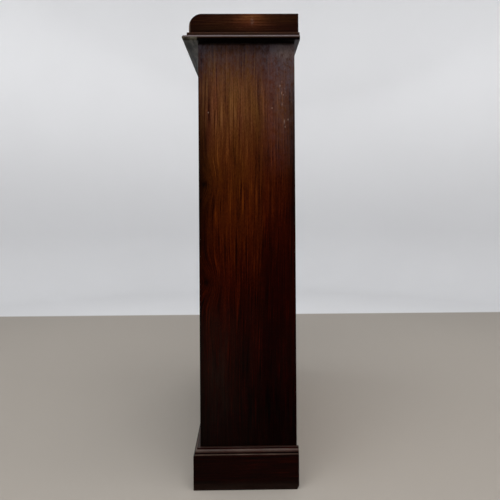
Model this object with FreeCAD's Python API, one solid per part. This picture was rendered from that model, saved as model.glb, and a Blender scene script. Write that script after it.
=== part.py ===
import FreeCAD, Part
import math
import os

# A low glazed display cabinet in polished mahogany: two inset doors, a planted plinth, three
# adjustable shelves and a three-quarter gallery. Millimetres, +Z up, the front faces -Y, and the
# origin is on the floor under the middle of the top board.

# Carcase
carcase_width = 996.0         # over the outer faces of the side panels
carcase_depth = 238.0         # side panels, front edge to back edge
carcase_height = 1094.5       # floor to the underside of the top board
side_thickness = 19.0
side_arris = 1.0              # easing of the front edges of the sides
bottom_thickness = 18.0
sub_top_thickness = 16.0      # the board under the top board
housing_depth = 6.0           # the bottom and the sub-top are let into the sides by this much

# Plinth, planted on the sides, and the moulding on it
plinth_height = 84.0
plinth_thickness = 16.0       # also how far it stands out at the front and at the sides
plinth_heel = 4.0             # the side boards run this far past the back edge of the sides
plinth_arris = 1.2
heel_chamfer_length = 5.0     # worn lower back corner of each side board
heel_chamfer_height = 9.0
moulding_height = 17.0
moulding_foot = 12.7          # projection of the lower fillet of the base moulding
moulding_foot_height = 4.5
moulding_neck = 7.6           # projection of the upper fillet
moulding_neck_height = 4.0
back_rail_thickness = 18.0
glue_block = 24.0             # width and depth of the blocks behind the plinth
glue_block_length = 90.0
glue_blocks_along_front = 3

# Top board
top_overhang_front = 36.0
top_overhang_side = 35.5
top_overhang_back = 11.0
nose_height = 12.6            # half-round nose
step_height = 8.2             # flat fillet above the nose
step_inset = 11.0             # from the nose back to the fillet
step_arris = 1.2

# Gallery round three sides of the top
gallery_height = 46.7
gallery_thickness = 15.0
gallery_setback_front = 15.8  # from the nose
gallery_setback_side = 15.0   # from the nose
gallery_setback_back = 2.7    # from the back edge of the top board
gallery_corner_radius = 31.5
gallery_arris = 2.4

# Back of matched boards in rebates
back_boards = 5
back_board_thickness = 9.0
back_rebate_width = 10.0      # into the thickness of the sides
back_board_inset = 1.0        # the boards lie this far inside the back edge of the sides
back_joint_vee = 1.6
tongue_length = 4.0
tongue_thickness = 3.0
groove_clearance = 0.2
back_screw_edge = 30.0        # from the edge of a board to its screws

# Doors
door_thickness = 20.0
door_setback = 2.0            # the doors lie this far inside the front edges
door_gap = 2.0                # round each door and between the two
stile_width = 45.0
top_rail_width = 45.0
bottom_rail_width = 60.0
sight_quirk = 1.0             # small step beside the moulded inner edge
sight_radius = 5.0
glass_shoulder = 8.5          # from the door's face back to the glass
glass_thickness = 3.0
glass_edge_room = 1.0
rebate_width = 7.0
bead_round = 4.0
tenon_length = 22.0
tenon_thickness = 7.0
tenon_haunch = 9.0
stop_block = 12.0             # height and depth of the blocks the doors close against
stop_block_length = 80.0
stop_room = 0.3

# Butt hinges, two on each door
hinge_height = 63.0
hinge_leaf_width = 17.0
hinge_leaf_thickness = 2.0
hinge_knuckle_room = 0.3
hinge_axis_proud = 0.5        # the pin stands this far in front of the door's face
hinge_pin_radius = 1.2
hinge_pin_room = 0.05
hinge_pin_head = 1.2
hinge_from_end = 110.0        # from the end of the door to the middle of the hinge
knuckle_count = 5
knuckle_end_room = 0.15

# Screws
hinge_screw_head = 2.7
hinge_screw_shank = 1.4
hinge_screw_length = 14.0
hinge_screw_spacing = 21.0
hinge_screw_row = 9.5         # from the pin to the row of screws
back_screw_head = 3.6
back_screw_shank = 2.0
back_screw_length = 27.0
screw_slot_width = 0.7
screw_point = 3.0             # length of a screw's point, in shank radii

# Lock in the right door, its key and the plates
lock_width = 34.0
lock_height = 46.0
lock_depth = 11.0
lock_wall = 1.6
lock_room = 0.3               # running clearance of the lock bolt
key_backset = 18.0            # from the edge of the door to the key
key_shank_radius = 2.6
key_pipe_radius = 1.4
drill_pin_room = 0.07
key_bit_radius = 6.8
key_bit_width = 5.0
key_bit_thickness = 1.8
key_bow_radius = 9.0
key_bow_wire = 1.8
key_stem_out = 13.0           # from the door's face to the bow
key_collar_radius = 3.8
key_collar_length = 2.4
lock_bolt_height = 10.0
lock_bolt_drop = 3.4          # from the key's axis up to the bolt
lock_bolt_throw = 7.0
talon_depth = 4.0
talon_lead = 4.0              # the notch starts this far before the key's axis
escutcheon_width = 18.0
escutcheon_height = 30.0
escutcheon_thickness = 1.2
strike_height = 40.0
strike_width = 13.0
strike_thickness = 1.0

# Two sliding bolts that hold the left door
slide_bar = 8.0               # square bar
slide_bar_length = 75.0
slide_room = 0.3
slide_travel = 12.0
slide_backset = 16.0          # from the edge of the door to the bar
slide_plate_width = 15.0
slide_plate_thickness = 1.6
slide_plate_margin = 14.0     # the plate runs on this far past the bar
slide_knob_offset = 58.0      # from the outer end of the bar to its knob
slide_knob_radius = 4.2
slide_knob_reach = 5.0
slide_neck_radius = 2.2

# Shelves on loose bearers in notched strips
shelf_count = 3
shelf_thickness = 15.0
shelf_setback = 6.5           # from the back of the doors to the front of the shelves
shelf_room = 1.0
shelf_arris = 2.0
strip_setback = 4.5           # from the back of the doors to the front strips
strip_width = 19.0
strip_thickness = 9.0
notch_pitch = 25.0
notch_depth = 8.0
notch_rise = 20.0
notch_first = 20.0            # from the cabinet floor to the first notch
bearer_height = 16.0
bearer_end_room = 0.4

# Places worked out from the sizes
half_width = carcase_width / 2
inner_half = half_width - side_thickness
top_half = half_width + top_overhang_side
top_depth = top_overhang_front + carcase_depth + top_overhang_back
nose_y = -top_depth / 2
top_back_y = top_depth / 2
front_y = nose_y + top_overhang_front
back_y = front_y + carcase_depth
board_back_y = back_y - back_board_inset
board_front_y = board_back_y - back_board_thickness
floor_z = plinth_height + bottom_thickness
ceiling_z = carcase_height - sub_top_thickness
top_z = carcase_height + nose_height + step_height
door_face_y = front_y + door_setback
door_back_y = door_face_y + door_thickness
door_outer = inner_half - door_gap
door_inner = door_gap / 2
door_low_z = floor_z + door_gap
door_high_z = ceiling_z - door_gap
sight_outer = door_outer - stile_width
sight_inner = door_inner + stile_width
sight_low_z = door_low_z + bottom_rail_width
sight_high_z = door_high_z - top_rail_width
glass_face_y = door_face_y + glass_shoulder
glass_back_y = glass_face_y + glass_thickness
hinge_x = inner_half - door_gap / 2
hinge_y = door_face_y - hinge_axis_proud
hinge_heights = (door_low_z + hinge_from_end, door_high_z - hinge_from_end)
knuckle_radius = door_gap / 2 + hinge_leaf_thickness - hinge_knuckle_room
key_x = door_inner + key_backset
key_z = (floor_z + ceiling_z) / 2
lock_face_y = door_back_y - lock_depth
bit_middle_y = door_back_y - lock_depth / 2
reach = 2 * carcase_depth     # farther than any mitre or corner it crosses
overcut = 1.0                 # cutters run this far past what they cut
touch = 1e-6

X = FreeCAD.Vector(1, 0, 0)
Y = FreeCAD.Vector(0, 1, 0)
Z = FreeCAD.Vector(0, 0, 1)
ORIGIN = FreeCAD.Vector(0, 0, 0)


def box(x_span, y_span, z_span):
    """A block between two values on each axis."""
    corner = FreeCAD.Vector(x_span[0], y_span[0], z_span[0])
    sizes = [span[1] - span[0] for span in (x_span, y_span, z_span)]
    return Part.makeBox(sizes[0], sizes[1], sizes[2], corner)


def seen_from_front(y):
    """Places (x, z) outline points in the plane at y."""
    return lambda u, v: FreeCAD.Vector(u, y, v)


def seen_from_side(x):
    """Places (y, z) outline points in the plane at x."""
    return lambda u, v: FreeCAD.Vector(x, u, v)


def seen_from_above(z):
    """Places (x, y) outline points in the plane at z."""
    return lambda u, v: FreeCAD.Vector(u, v, z)


def corner_arc(before, corner, after, radius):
    """The start, the middle and the end of the arc that rounds a corner of an outline."""
    here = FreeCAD.Vector(corner[0], corner[1], 0)
    back = (FreeCAD.Vector(before[0], before[1], 0) - here).normalize()
    ahead = (FreeCAD.Vector(after[0], after[1], 0) - here).normalize()
    half_angle = back.getAngle(ahead) / 2
    inward = (back + ahead).normalize()
    run = radius / math.tan(half_angle)
    middle = here + inward * (radius / math.sin(half_angle) - radius)
    return here + back * run, middle, here + ahead * run


def outline_face(corners, place):
    """The face inside a closed outline of (u, v) or (u, v, radius) corners."""
    edges = []
    arcs = []
    for index, corner in enumerate(corners):
        if len(corner) == 3 and corner[2] > 0:
            after = corners[(index + 1) % len(corners)]
            arcs.append(corner_arc(corners[index - 1], corner, after, corner[2]))
        else:
            point = FreeCAD.Vector(corner[0], corner[1], 0)
            arcs.append((point, None, point))
    for index, (start, middle, end) in enumerate(arcs):
        if middle is not None:
            points = [place(point.x, point.y) for point in (start, middle, end)]
            edges.append(Part.Arc(*points).toShape())
        following = arcs[(index + 1) % len(arcs)][0]
        if (following - end).Length > touch:
            edges.append(Part.makeLine(place(end.x, end.y), place(following.x, following.y)))
    return Part.Face(Part.Wire(Part.__sortEdges__(edges)))


def prism(corners, place, travel):
    """An outline face drawn out along a vector."""
    return outline_face(corners, place).extrude(travel)


def cylinder(radius, base, axis, length):
    return Part.makeCylinder(radius, length, base, axis)


def mirrored(shape):
    """The same piece on the other side of the cabinet."""
    return shape.mirror(ORIGIN, X)


def united(shape, *others):
    return shape.fuse(list(others)).removeSplitter()


def less(shape, cutters):
    return shape.cut(cutters) if cutters else shape


def countersunk_screw(head, shank, length, point, direction, slotted):
    """A wood screw with its flat head at the point; without its slot it is the hole it fills."""
    cone_depth = head - shank
    tip_length = shank * screw_point
    place = FreeCAD.Placement(point, FreeCAD.Rotation(Z, direction))
    side = [(0, 0), (head, 0), (shank, cone_depth), (shank, length - tip_length), (0, length)]
    screw = outline_face(side, seen_from_front(0)).revolve(ORIGIN, Z, 360)
    if slotted:
        slot_depth = cone_depth / 2
        half_slot = screw_slot_width / 2
        screw = screw.cut(box((-head, head), (-half_slot, half_slot), (0, slot_depth)))
    screw.Placement = place
    return screw


def keyhole(margin, y_span):
    """The opening that lets the key in: a round hole with a slot below it for the bit."""
    round_hole = cylinder(key_shank_radius + margin, FreeCAD.Vector(key_x, y_span[0], key_z), Y,
                          y_span[1] - y_span[0])
    half_slot = key_bit_thickness / 2 + margin
    slot = box((key_x - half_slot, key_x + half_slot), y_span,
               (key_z - key_bit_radius - margin, key_z))
    return united(round_hole, slot)


# Hinges. Each is drawn on the left door; the right door has mirror images.

def hinge_screws(z, into_carcase, slotted):
    """The three screws in one leaf of the hinge at height z."""
    screws = []
    screw_y = hinge_y + hinge_screw_row
    face_x = -inner_half if into_carcase else -door_outer
    direction = -X if into_carcase else X
    for step in (-1, 0, 1):
        point = FreeCAD.Vector(face_x, screw_y, z + step * hinge_screw_spacing)
        screws.append(countersunk_screw(hinge_screw_head, hinge_screw_shank, hinge_screw_length,
                                        point, direction, slotted))
    return screws


def hinge_leaf(z, of_carcase):
    """One leaf with its share of the knuckles."""
    low = z - hinge_height / 2
    knuckle_length = hinge_height / knuckle_count
    if of_carcase:
        leaf_x = (-inner_half - hinge_leaf_thickness, -inner_half)
    else:
        leaf_x = (-door_outer, -door_outer + hinge_leaf_thickness)
    leaf = box(leaf_x, (hinge_y, hinge_y + hinge_leaf_width), (low, low + hinge_height))
    own = []
    foreign = []
    for index in range(knuckle_count):
        start = low + index * knuckle_length
        if (index % 2 == 0) == of_carcase:
            base = FreeCAD.Vector(-hinge_x, hinge_y, start + knuckle_end_room)
            own.append(cylinder(knuckle_radius, base, Z, knuckle_length - 2 * knuckle_end_room))
        else:
            base = FreeCAD.Vector(-hinge_x, hinge_y, start - knuckle_end_room)
            foreign.append(cylinder(knuckle_radius + hinge_knuckle_room, base, Z,
                                    knuckle_length + 2 * knuckle_end_room))
    leaf = united(less(leaf, foreign), *own)
    bore_radius = hinge_pin_radius if of_carcase else hinge_pin_radius + hinge_pin_room
    bore = cylinder(bore_radius, FreeCAD.Vector(-hinge_x, hinge_y, low - overcut), Z,
                    hinge_height + 2 * overcut)
    return less(leaf, [bore] + hinge_screws(z, of_carcase, slotted=False))


def hinge_pin(z):
    """The pin with a small flat head at each end."""
    low = z - hinge_height / 2
    pin = cylinder(hinge_pin_radius, FreeCAD.Vector(-hinge_x, hinge_y, low), Z, hinge_height)
    heads = []
    for start in (low - hinge_pin_head, low + hinge_height):
        base = FreeCAD.Vector(-hinge_x, hinge_y, start)
        heads.append(cylinder(knuckle_radius - hinge_knuckle_room, base, Z, hinge_pin_head))
    return united(pin, *heads)


def hinge_recesses(of_carcase):
    """What is cut from the side panel or from the door's edge for its leaves and screws."""
    cuts = []
    for z in hinge_heights:
        low = z - hinge_height / 2 - hinge_pin_head
        high = z + hinge_height / 2 + hinge_pin_head
        leaf_back = hinge_y + hinge_leaf_width
        if of_carcase:
            x_span = (-inner_half - hinge_leaf_thickness, -inner_half)
        else:
            x_span = (-door_outer, -door_outer + hinge_leaf_thickness)
        knuckle_back = hinge_y + knuckle_radius + hinge_knuckle_room
        cuts.append(box(x_span, (front_y - overcut, knuckle_back), (low, high)))
        leaf_z = (z - hinge_height / 2, z + hinge_height / 2)
        cuts.append(box(x_span, (front_y - overcut, leaf_back), leaf_z))
        cuts.extend(hinge_screws(z, of_carcase, slotted=False))
    return cuts


# Carcase

def back_screws(slotted):
    """Two screws at each end of each back board."""
    screws = []
    board_width = 2 * (inner_half + back_rebate_width) / back_boards
    for index in range(back_boards):
        left = -inner_half - back_rebate_width + index * board_width
        for x in (left + back_screw_edge, left + board_width - back_screw_edge):
            for z in (plinth_height + bottom_thickness / 2, ceiling_z + sub_top_thickness / 2):
                point = FreeCAD.Vector(x, board_back_y, z)
                screws.append(countersunk_screw(back_screw_head, back_screw_shank,
                                                back_screw_length, point, -Y, slotted))
    return screws


def side_panel():
    """The left side, rebated behind and housed for the bottom and the sub-top."""
    outline = [(-half_width, front_y, side_arris), (-inner_half, front_y, side_arris),
               (-inner_half, back_y), (-half_width, back_y)]
    panel = prism(outline, seen_from_above(0), Z * carcase_height)
    housed_x = (-inner_half - housing_depth, -inner_half)
    board_y = (front_y, board_front_y)
    cuts = [box((-inner_half - back_rebate_width, -inner_half), (board_front_y, back_y + overcut),
                (plinth_height, carcase_height)),
            box(housed_x, board_y, (plinth_height, floor_z)),
            box(housed_x, board_y, (ceiling_z, carcase_height))]
    return less(panel, cuts + hinge_recesses(of_carcase=True))


def slide_bolt_hole(x, z_span):
    """The hole in the bottom or the sub-top that a sliding bolt enters."""
    half_hole = slide_bar / 2 + slide_room
    middle_y = slide_bar_middle_y()
    return box((x - half_hole, x + half_hole), (middle_y - half_hole, middle_y + half_hole), z_span)


def carcase_board(z_span, bolt_hole):
    """The bottom or the sub-top, let into both sides."""
    board_half = inner_half + housing_depth
    board = box((-board_half, board_half), (front_y, board_front_y), z_span)
    return less(board, [bolt_hole] + back_screws(slotted=False))


def mitred_sides(profile):
    """A planted moulding along the front and both sides, mitred at the front corners.

    The profile has (distance out from the carcase, z) corners.
    """
    low_z = -overcut
    rise = Z * (carcase_height + 2 * overcut)
    front_profile = [(front_y - corner[0],) + tuple(corner[1:]) for corner in profile]
    front = prism(front_profile, seen_from_side(-half_width - reach),
                  X * (carcase_width + 2 * reach))
    front_wedge = [(-half_width, front_y), (half_width, front_y),
                   (half_width + reach, front_y - reach), (-half_width - reach, front_y - reach)]
    front = front.common(prism(front_wedge, seen_from_above(low_z), rise))
    side_profile = [(-half_width - corner[0],) + tuple(corner[1:]) for corner in profile]
    side_back_y = back_y + plinth_heel
    left = prism(side_profile, seen_from_front(front_y - reach),
                 Y * (side_back_y - front_y + reach))
    left_wedge = [(-half_width, front_y), (-half_width - reach, front_y - reach),
                  (-half_width - reach, side_back_y), (-half_width, side_back_y)]
    left = left.common(prism(left_wedge, seen_from_above(low_z), rise))
    return front, left


def plinth_boards():
    """The front board and the left one, whose lower back corner is worn away."""
    profile = [(0, 0), (plinth_thickness, 0), (plinth_thickness, plinth_height, plinth_arris),
               (0, plinth_height)]
    front, left = mitred_sides(profile)
    heel_y = back_y + plinth_heel
    worn = [(heel_y + overcut, -overcut), (heel_y - heel_chamfer_length, -overcut),
            (heel_y - heel_chamfer_length, 0), (heel_y, heel_chamfer_height),
            (heel_y + overcut, heel_chamfer_height)]
    worn_corner = prism(worn, seen_from_side(-half_width - reach), X * 2 * reach)
    return front, less(left, [worn_corner])


def base_mouldings():
    """An ovolo between two fillets, standing on the plinth's top edge."""
    low = plinth_height
    high = low + moulding_height
    foot_top = low + moulding_foot_height
    neck_low = high - moulding_neck_height
    ovolo_width = moulding_foot - moulding_neck
    ovolo_height = neck_low - foot_top
    ovolo_radius = (ovolo_width ** 2 + ovolo_height ** 2) / (2 * ovolo_width)
    ovolo_corner = foot_top + ovolo_radius * ovolo_width / ovolo_height
    profile = [(0, low), (moulding_foot, low), (moulding_foot, foot_top),
               (moulding_foot, ovolo_corner, ovolo_radius), (moulding_neck, neck_low),
               (moulding_neck, high, side_arris), (0, high)]
    return mitred_sides(profile)


def plinth_back_rail():
    """The rail between the sides under the back of the bottom."""
    return box((-inner_half, inner_half), (board_front_y - back_rail_thickness, board_front_y),
               (0, plinth_height))


def plinth_glue_blocks():
    """Two upright blocks in the front corners and a row under the bottom's front edge."""
    y_span = (front_y, front_y + glue_block)
    blocks = [box((-inner_half, -inner_half + glue_block), y_span, (0, plinth_height)),
              box((inner_half - glue_block, inner_half), y_span, (0, plinth_height))]
    spacing = 2 * inner_half / (glue_blocks_along_front + 1)
    for index in range(glue_blocks_along_front):
        middle = -inner_half + (index + 1) * spacing
        blocks.append(box((middle - glue_block_length / 2, middle + glue_block_length / 2),
                          y_span, (plinth_height - glue_block, plinth_height)))
    return Part.makeCompound(blocks)


# Top board and gallery

def top_board():
    """The board with a nose and a fillet round its front and sides; its back edge is plain."""
    low = carcase_height
    shelf_z = low + nose_height
    nose = nose_height / 2

    def moulded_edge(edge, inward):
        step = edge + inward * step_inset
        return [(edge, low, nose), (edge, shelf_z, nose), (step, shelf_z), (step, top_z, step_arris)]

    left = moulded_edge(-top_half, 1)
    right = moulded_edge(top_half, -1)
    front = moulded_edge(nose_y, 1)
    across = prism(left + right[::-1], seen_from_front(nose_y - overcut),
                   Y * (top_depth + 2 * overcut))
    from_front = prism(front + [(top_back_y, top_z), (top_back_y, low)],
                       seen_from_side(-top_half - overcut), X * 2 * (top_half + overcut))
    return across.common(from_front)


def eased(board, edge_test, radius):
    """The board with the edges that pass the test rounded over."""
    edges = [edge for edge in board.Edges if edge_test(edge)]
    return board.makeFillet(radius, edges)


def gallery_side():
    """The left side of the gallery, its front top corner swept down in a quarter round."""
    outer = -top_half + gallery_setback_side
    front = nose_y + gallery_setback_front
    back = top_back_y - gallery_setback_back
    high = top_z + gallery_height
    outline = [(front, top_z), (front, high, gallery_corner_radius), (back, high), (back, top_z)]
    board = prism(outline, seen_from_side(outer), X * gallery_thickness)

    def runs_round_a_face(edge):
        box_of_edge = edge.BoundBox
        in_face = box_of_edge.XLength < touch
        at_back = box_of_edge.YMin > back - touch
        at_foot = box_of_edge.ZMax < top_z + touch
        return in_face and not at_back and not at_foot

    return eased(board, runs_round_a_face, gallery_arris)


def gallery_back():
    """The back of the gallery, between the two sides."""
    half = top_half - gallery_setback_side - gallery_thickness
    back = top_back_y - gallery_setback_back
    high = top_z + gallery_height
    board = box((-half, half), (back - gallery_thickness, back), (top_z, high))

    def runs_along_top(edge):
        return edge.BoundBox.ZMin > high - touch and edge.BoundBox.XLength > half

    return eased(board, runs_along_top, gallery_arris)


def back_board_set():
    """Tongued and grooved boards across the back, with a small vee at each joint inside."""
    width = 2 * (inner_half + back_rebate_width) / back_boards
    middle_y = (board_front_y + board_back_y) / 2
    half_tongue = tongue_thickness / 2
    half_groove = half_tongue + groove_clearance
    groove_length = tongue_length + groove_clearance
    holes = back_screws(slotted=False)
    boards = []
    for index in range(back_boards):
        left = -inner_half - back_rebate_width + index * width
        right = left + width
        outline = [(left, board_back_y), (right, board_back_y)]
        if index < back_boards - 1:
            outline += [(right, middle_y + half_tongue),
                        (right + tongue_length, middle_y + half_tongue),
                        (right + tongue_length, middle_y - half_tongue),
                        (right, middle_y - half_tongue)]
        outline += [(right, board_front_y + back_joint_vee),
                    (right - back_joint_vee, board_front_y),
                    (left + back_joint_vee, board_front_y),
                    (left, board_front_y + back_joint_vee)]
        if index > 0:
            outline += [(left, middle_y - half_groove),
                        (left + groove_length, middle_y - half_groove),
                        (left + groove_length, middle_y + half_groove),
                        (left, middle_y + half_groove)]
        board = prism(outline, seen_from_above(plinth_height), Z * (carcase_height - plinth_height))
        boards.append(less(board, holes))
    return boards


# Doors, drawn as the left one

def glazed_opening():
    """The hole through a door: moulded at the face, rebated behind, mitred at the corners."""
    moulded_y = door_face_y + sight_quirk

    def slab(low, high):
        return [(low - sight_radius, door_face_y - overcut),
                (high + sight_radius, door_face_y - overcut),
                (high + sight_radius, moulded_y), (high, moulded_y, sight_radius),
                (high, glass_face_y), (high + rebate_width, glass_face_y),
                (high + rebate_width, door_back_y + overcut),
                (low - rebate_width, door_back_y + overcut),
                (low - rebate_width, glass_face_y), (low, glass_face_y),
                (low, moulded_y, sight_radius), (low - sight_radius, moulded_y)]

    upright = prism(slab(-sight_outer, -sight_inner), seen_from_above(0), Z * carcase_height)
    level = prism(slab(sight_low_z, sight_high_z),
                  lambda z, y: FreeCAD.Vector(-half_width, y, z), X * half_width)
    return upright.common(level)


def rail_tenons(low_z, high_z):
    """The two tenons of a rail that lies between two heights."""
    middle_y = door_face_y + door_thickness / 2
    y_span = (middle_y - tenon_thickness / 2, middle_y + tenon_thickness / 2)
    return [box((-sight_outer - tenon_length, -sight_outer), y_span, (low_z, high_z)),
            box((-sight_inner, -sight_inner + tenon_length), y_span, (low_z, high_z))]


def door_frame():
    """The two stiles and the two rails of the left door."""
    opening = glazed_opening()
    y_span = (door_face_y, door_back_y)
    top_tenons = rail_tenons(sight_high_z + tenon_haunch, door_high_z - tenon_haunch)
    bottom_tenons = rail_tenons(door_low_z + tenon_haunch, sight_low_z - tenon_haunch)
    hinge_stile = box((-door_outer, -sight_outer), y_span, (door_low_z, door_high_z))
    meeting_stile = box((-sight_inner, -door_inner), y_span, (door_low_z, door_high_z))
    rail_x = (-sight_outer, -sight_inner)
    top_rail = less(box(rail_x, y_span, (sight_high_z, door_high_z)), [opening])
    bottom_rail = less(box(rail_x, y_span, (door_low_z, sight_low_z)), [opening])
    mortises = top_tenons + bottom_tenons
    return {"hinge_stile": less(hinge_stile, [opening] + mortises + hinge_recesses(False)),
            "meeting_stile": less(meeting_stile, [opening] + mortises),
            "top_rail": united(top_rail, *top_tenons),
            "bottom_rail": united(bottom_rail, *bottom_tenons)}


def door_glass():
    room = rebate_width - glass_edge_room
    return box((-sight_outer - room, -sight_inner + room), (glass_face_y, glass_back_y),
               (sight_low_z - room, sight_high_z + room))


def glazing_beads():
    """Four mitred beads that hold the glass from behind."""
    left = -sight_outer - rebate_width
    right = -sight_inner + rebate_width
    low = sight_low_z - rebate_width
    high = sight_high_z + rebate_width
    corners = [(left, low), (right, low), (right, high), (left, high)]
    beads = []
    for index, (x, z) in enumerate(corners):
        next_x, next_z = corners[(index + 1) % len(corners)]
        run = FreeCAD.Vector(next_x - x, 0, next_z - z)
        along = FreeCAD.Vector(run).normalize()
        inward = Y.cross(along) * -1
        base = FreeCAD.Vector(x, 0, z)

        def place(distance, y):
            return base + inward * distance + Y * y

        section = [(0, glass_back_y), (rebate_width, glass_back_y),
                   (rebate_width, door_back_y, bead_round), (0, door_back_y)]
        bar = prism(section, place, run)
        end_in = (along + inward) * rebate_width
        far_in = (inward - along) * rebate_width
        wedge_points = [base, base + run, base + run + far_in, base + end_in]
        wedge_wire = Part.makePolygon(wedge_points + wedge_points[:1])
        wedge = Part.Face(wedge_wire)
        wedge.translate(Y * (glass_back_y - overcut))
        beads.append(bar.common(wedge.extrude(Y * door_thickness)))
    return Part.makeCompound(beads)


# Sliding bolts of the left door

def slide_bar_middle_y():
    return door_back_y - slide_plate_thickness - slide_room - slide_bar / 2


def slide_parts(upward):
    """The bolt, its plate and what is cut for them, at the top or at the bottom of the door."""
    x = -door_inner - slide_backset
    end_z = door_high_z if upward else door_low_z
    outward = 1 if upward else -1
    bar_y = slide_bar_middle_y()
    half_bar = slide_bar / 2

    def from_end(*distances):
        return tuple(sorted(end_z - outward * distance for distance in distances))

    bar_z = from_end(slide_room, slide_room + slide_bar_length)
    bar = box((x - half_bar, x + half_bar), (bar_y - half_bar, bar_y + half_bar), bar_z)
    knob_z = end_z - outward * (slide_room + slide_knob_offset)
    neck_base = FreeCAD.Vector(x, bar_y + half_bar, knob_z)
    neck = cylinder(slide_neck_radius, neck_base, Y,
                    door_back_y + slide_knob_reach - neck_base.y)
    head_y = door_back_y + slide_room
    head = cylinder(slide_knob_radius, FreeCAD.Vector(x, head_y, knob_z), Y,
                    slide_knob_reach - slide_room)
    bolt = united(bar, neck, head)
    plate_y = (door_back_y - slide_plate_thickness, door_back_y)
    plate_z = from_end(0, slide_bar_length + slide_plate_margin)
    half_plate = slide_plate_width / 2
    plate_blank = box((x - half_plate, x + half_plate), plate_y, plate_z)
    half_slot = slide_neck_radius + slide_room
    slot_ends = (knob_z - outward * half_slot, knob_z + outward * (slide_travel + half_slot))
    slot = box((x - half_slot, x + half_slot), (plate_y[0] - overcut, plate_y[1] + overcut),
               (min(slot_ends), max(slot_ends)))
    half_channel = half_bar + slide_room
    channel = box((x - half_channel, x + half_channel), (bar_y - half_channel, door_back_y),
                  from_end(0, slide_bar_length + 2 * slide_room))
    hole_depth = slide_travel
    if upward:
        hole_z = (ceiling_z, ceiling_z + hole_depth)
    else:
        hole_z = (floor_z - hole_depth, floor_z)
    return {"bolt": bolt, "plate": less(plate_blank, [slot]), "cuts": [plate_blank, channel],
            "hole": slide_bolt_hole(x, hole_z)}


# Lock of the right door

def lock_bolt_spans(room):
    """The three spans of the lock bolt at rest, made larger by a clearance."""
    x_span = (door_inner + lock_room, door_inner + lock_width - lock_wall - lock_room)
    y_span = (bit_middle_y - key_bit_width / 2 - room, bit_middle_y + key_bit_width / 2 + room)
    low = key_z + lock_bolt_drop
    return x_span, y_span, (low - room, low + lock_bolt_height + room)


def lock_bolt():
    """A flat bolt with a notch where the key's bit passes."""
    x_span, y_span, z_span = lock_bolt_spans(0)
    bolt = box(x_span, y_span, z_span)
    notch = box((key_x - talon_lead, x_span[1] - lock_wall),
                (y_span[0] - overcut, y_span[1] + overcut),
                (z_span[0] - overcut, z_span[0] + talon_depth))
    return less(bolt, [notch])


def lock_case():
    """A box with guides for the bolt, a keyhole in front and a pin for the pipe of the key."""
    x_span = (door_inner, door_inner + lock_width)
    y_span = (lock_face_y, door_back_y)
    z_span = (key_z - lock_height / 2, key_z + lock_height / 2)
    inside_x = (x_span[0] + lock_wall, x_span[1] - lock_wall)
    inside_y = (y_span[0] + lock_wall, y_span[1] - lock_wall)
    inside_z = (z_span[0] + lock_wall, z_span[1] - lock_wall)
    shell = less(box(x_span, y_span, z_span), [box(inside_x, inside_y, inside_z)])
    _, bolt_y, bolt_z = lock_bolt_spans(lock_room)
    upper_guide = box((inside_x[0], inside_x[1]), inside_y, (bolt_z[1], inside_z[1]))
    lower_guide = box((inside_x[0], key_x - key_bit_radius - 2 * lock_room), inside_y,
                      (bolt_z[0] - lock_wall, bolt_z[0]))
    pin = cylinder(key_pipe_radius - drill_pin_room,
                   FreeCAD.Vector(key_x, bit_middle_y - key_bit_width / 2, key_z), Y,
                   door_back_y - lock_wall - bit_middle_y + key_bit_width / 2)
    case = united(shell, upper_guide, lower_guide, pin)
    bolt_slot = box((x_span[0] - overcut, inside_x[0] + overcut), bolt_y, bolt_z)
    key_slot = keyhole(lock_room, (lock_face_y - overcut, inside_y[0] + lock_room))
    return less(case, [bolt_slot, key_slot])


def lock_cuts():
    """What is cut from the right door's meeting stile."""
    case_room = box((door_inner, door_inner + lock_width), (lock_face_y, door_back_y),
                    (key_z - lock_height / 2, key_z + lock_height / 2))
    return [case_room, keyhole(lock_room, (door_face_y - overcut, lock_face_y + overcut))]


def lock_key():
    """A pipe key: bit down, stem through the door, ring bow in front."""
    bit_y = (bit_middle_y - key_bit_width / 2, bit_middle_y + key_bit_width / 2)
    stem_front = door_face_y - key_stem_out
    stem = cylinder(key_shank_radius, FreeCAD.Vector(key_x, stem_front, key_z), Y,
                    bit_y[1] - stem_front)
    half_bit = key_bit_thickness / 2
    bit = box((key_x - half_bit, key_x + half_bit), bit_y, (key_z - key_bit_radius, key_z))
    bow = Part.makeTorus(key_bow_radius, key_bow_wire,
                         FreeCAD.Vector(key_x, stem_front - key_bow_radius, key_z), X)
    collar_base = FreeCAD.Vector(key_x, stem_front + key_bow_wire / 2, key_z)
    collar = cylinder(key_collar_radius, collar_base, Y, key_collar_length)
    pipe = cylinder(key_pipe_radius, FreeCAD.Vector(key_x, bit_y[0] - lock_room, key_z), Y,
                    key_bit_width + lock_room + overcut)
    return less(united(stem, bit, bow, collar), [pipe])


def escutcheon():
    """A plate with round ends and a keyhole, on the door's face."""
    half_wide = escutcheon_width / 2
    half_high = escutcheon_height / 2
    outline = [(key_x - half_wide, key_z - half_high, half_wide),
               (key_x + half_wide, key_z - half_high, half_wide),
               (key_x + half_wide, key_z + half_high, half_wide),
               (key_x - half_wide, key_z + half_high, half_wide)]
    plate = prism(outline, seen_from_front(door_face_y - escutcheon_thickness),
                  Y * escutcheon_thickness)
    y_span = (door_face_y - escutcheon_thickness - overcut, door_face_y + overcut)
    return less(plate, [keyhole(lock_room, y_span)])


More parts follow.
